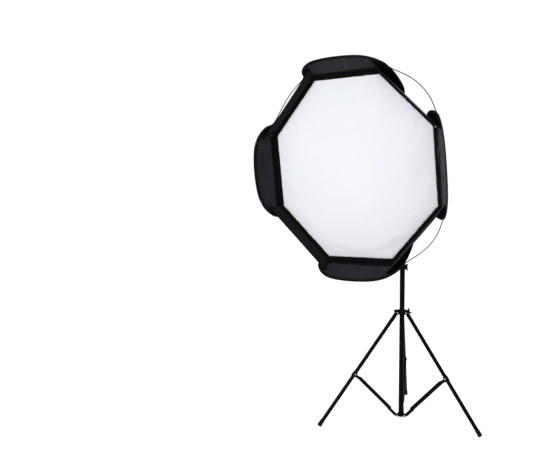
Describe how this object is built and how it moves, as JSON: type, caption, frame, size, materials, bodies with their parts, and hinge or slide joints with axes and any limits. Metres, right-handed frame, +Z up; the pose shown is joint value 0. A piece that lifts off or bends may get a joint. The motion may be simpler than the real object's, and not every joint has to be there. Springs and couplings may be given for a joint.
{
  "type": "studio softbox on light stand",
  "caption": "Octagonal pop-up studio softbox with winged edge panels on a tilting speed ring bracket and a telescopic folding light stand.",
  "frame": {"origin": "on the floor, in the middle of the space the whole kit takes up; the column stands 0.104 m behind it", "axes": "+Z up along the column; the softbox faces -Y; +X is to the right of someone looking along +Y at its white front"},
  "size_m": [0.9832, 1.0158, 1.7179],
  "materials": {
    "black_nylon": "coated black nylon, silver inside",
    "white_nylon": "translucent white diffusion cloth",
    "binding_tape": "black woven tape and hook-and-loop",
    "spring_steel": "blued spring steel wire",
    "black_tube": "semi-gloss black anodised aluminium tube",
    "black_casting": "satin black powder coat",
    "black_plastic": "moulded black nylon plastic",
    "bare_steel": "bright zinc-plated steel",
    "rubber": "black rubber"
  },
  "bodies": {
    "stand_column": {"main_tube": "black_tube", "hub": "black_casting", "hub_pin_1": "bare_steel", "hub_pin_2": "bare_steel", "hub_pin_3": "bare_steel", "collar_1": "black_plastic"},
    "spider": {"spider": "black_casting", "leg_pin_1": "bare_steel", "leg_pin_2": "bare_steel", "leg_pin_3": "bare_steel"},
    "spider_knob": {"spider_knob": "black_plastic"},
    "collar_1_knob": {"collar_1_knob": "black_plastic"},
    "riser_1": {"riser_1": "black_tube", "collar_2": "black_plastic"},
    "collar_2_knob": {"collar_2_knob": "black_plastic"},
    "riser_2": {"riser_2": "black_tube", "spigot": "bare_steel"},
    "swivel": {"swivel_socket": "black_casting", "tilt_bolt": "bare_steel"},
    "socket_knob": {"socket_knob": "black_plastic"},
    "tilt_lever": {"tilt_lever": "black_plastic"},
    "head": {"bracket_arm": "black_casting", "ring_holder": "black_casting"},
    "ring_knob": {"ring_knob": "black_plastic"},
    "shoe": {"shoe_carriage": "black_plastic", "cold_shoe": "bare_steel"},
    "shoe_wheel": {"shoe_wheel": "black_plastic"},
    "softbox": {"speed_ring": "black_casting", "rear_collar": "binding_tape", "side_panel_right": "black_nylon", "side_panel_top": "black_nylon", "side_panel_left": "black_nylon", "side_panel_bottom": "black_nylon", "panel_hoop_right": "spring_steel", "panel_hoop_top": "spring_steel", "panel_hoop_left": "spring_steel", "panel_hoop_bottom": "spring_steel", "corner_panel_upper_right": "black_nylon", "corner_panel_upper_left": "black_nylon", "corner_panel_lower_left": "black_nylon", "corner_panel_lower_right": "black_nylon", "ring_hoop": "spring_steel", "front_diffuser": "white_nylon", "diffuser_border": "binding_tape", "inner_diffuser": "white_nylon"},
    "leg_1": {"leg_1": "black_tube", "foot_cap_1": "rubber", "leg_clip_1": "black_plastic"},
    "brace_1": {"brace_1": "black_tube", "brace_pin_1": "bare_steel"},
    "leg_2": {"leg_2": "black_tube", "foot_cap_2": "rubber", "leg_clip_2": "black_plastic"},
    "brace_2": {"brace_2": "black_tube", "brace_pin_2": "bare_steel"},
    "leg_3": {"leg_3": "black_tube", "foot_cap_3": "rubber", "leg_clip_3": "black_plastic"},
    "brace_3": {"brace_3": "black_tube", "brace_pin_3": "bare_steel"}
  },
  "joints": [
    {"name": "spider_slide", "type": "slide", "parent": "stand_column", "child": "spider", "axis": [0, 0, 1], "range_m": [0, 0.169]},
    {"name": "leg_1_fold", "type": "hinge", "parent": "spider", "child": "leg_1", "pos_m": [-0.01204, 0.12983, 0.532], "axis": [-0.9063, -0.4226, 0], "range_deg": [0, 37.7]},
    {"name": "brace_1_fold", "type": "hinge", "parent": "stand_column", "child": "brace_1", "pos_m": [-0.01204, 0.12983, 0.0186], "axis": [-0.9063, -0.4226, 0], "range_deg": [-45.01, 0]},
    {"name": "leg_2_fold", "type": "hinge", "parent": "spider", "child": "leg_2", "pos_m": [-0.01635, 0.08065, 0.532], "axis": [0.8192, -0.5736, 0], "range_deg": [0, 37.7]},
    {"name": "brace_2_fold", "type": "hinge", "parent": "stand_column", "child": "brace_2", "pos_m": [-0.01635, 0.08065, 0.0186], "axis": [0.8192, -0.5736, 0], "range_deg": [-45.01, 0]},
    {"name": "leg_3_fold", "type": "hinge", "parent": "spider", "child": "leg_3", "pos_m": [0.02839, 0.10152, 0.532], "axis": [0.0872, 0.9962, 0], "range_deg": [0, 37.7]},
    {"name": "brace_3_fold", "type": "hinge", "parent": "stand_column", "child": "brace_3", "pos_m": [0.02839, 0.10152, 0.0186], "axis": [0.0872, 0.9962, 0], "range_deg": [-45.01, 0]},
    {"name": "spider_knob_turn", "type": "hinge", "parent": "spider", "child": "spider_knob", "pos_m": [0, 0.104, 0.536], "axis": [0.5, 0.866, 0], "range_deg": [0, 270]},
    {"name": "collar_1_knob_turn", "type": "hinge", "parent": "stand_column", "child": "collar_1_knob", "pos_m": [0, 0.104, 0.761], "axis": [0.866, -0.5, 0], "range_deg": [0, 270]},
    {"name": "riser_1_slide", "type": "slide", "parent": "stand_column", "child": "riser_1", "axis": [0, 0, 1], "range_m": [-0.22, 0.25]},
    {"name": "collar_2_knob_turn", "type": "hinge", "parent": "riser_1", "child": "collar_2_knob", "pos_m": [0, 0.104, 1.053], "axis": [1, 0, 0], "range_deg": [0, 270]},
    {"name": "riser_2_slide", "type": "slide", "parent": "riser_1", "child": "riser_2", "axis": [0, 0, 1], "range_m": [0, 0.45]},
    {"name": "head_swivel", "type": "hinge", "parent": "riser_2", "child": "swivel", "pos_m": [0, 0.104, 1.106], "axis": [0, 0, 1], "continuous": true},
    {"name": "socket_knob_turn", "type": "hinge", "parent": "swivel", "child": "socket_knob", "pos_m": [0, 0.104, 1.099], "axis": [1, 0, 0], "range_deg": [0, 270]},
    {"name": "tilt_lever_turn", "type": "hinge", "parent": "swivel", "child": "tilt_lever", "pos_m": [0, 0.104, 1.153], "axis": [-1, 0, 0], "range_deg": [0, 90]},
    {"name": "head_tilt", "type": "hinge", "parent": "swivel", "child": "head", "pos_m": [0, 0.104, 1.153], "axis": [1, 0, 0], "range_deg": [-85, 35]},
    {"name": "ring_knob_turn", "type": "hinge", "parent": "head", "child": "ring_knob", "pos_m": [0, 0.03117, 1.28546], "axis": [1, 0, 0], "range_deg": [0, 270]},
    {"name": "softbox_turn", "type": "hinge", "parent": "head", "child": "softbox", "pos_m": [0, 0.03117, 1.28546], "axis": [0, -0.9933, -0.1158], "continuous": true},
    {"name": "shoe_slide", "type": "slide", "parent": "head", "child": "shoe", "axis": [0, 0.9933, 0.1158], "range_m": [-0.022, 0.034]},
    {"name": "shoe_wheel_turn", "type": "hinge", "parent": "shoe", "child": "shoe_wheel", "pos_m": [0, 0.15883, 1.18356], "axis": [0, 0.1158, -0.9933], "range_deg": [0, 270]}
  ],
  "couplings": [
    {"joint": "leg_1_fold", "follows": "spider_slide", "rad_per_m": 3.8922},
    {"joint": "brace_1_fold", "follows": "spider_slide", "rad_per_m": -4.6472},
    {"joint": "leg_2_fold", "follows": "spider_slide", "rad_per_m": 3.8922},
    {"joint": "brace_2_fold", "follows": "spider_slide", "rad_per_m": -4.6472},
    {"joint": "leg_3_fold", "follows": "spider_slide", "rad_per_m": 3.8922},
    {"joint": "brace_3_fold", "follows": "spider_slide", "rad_per_m": -4.6472}
  ]
}
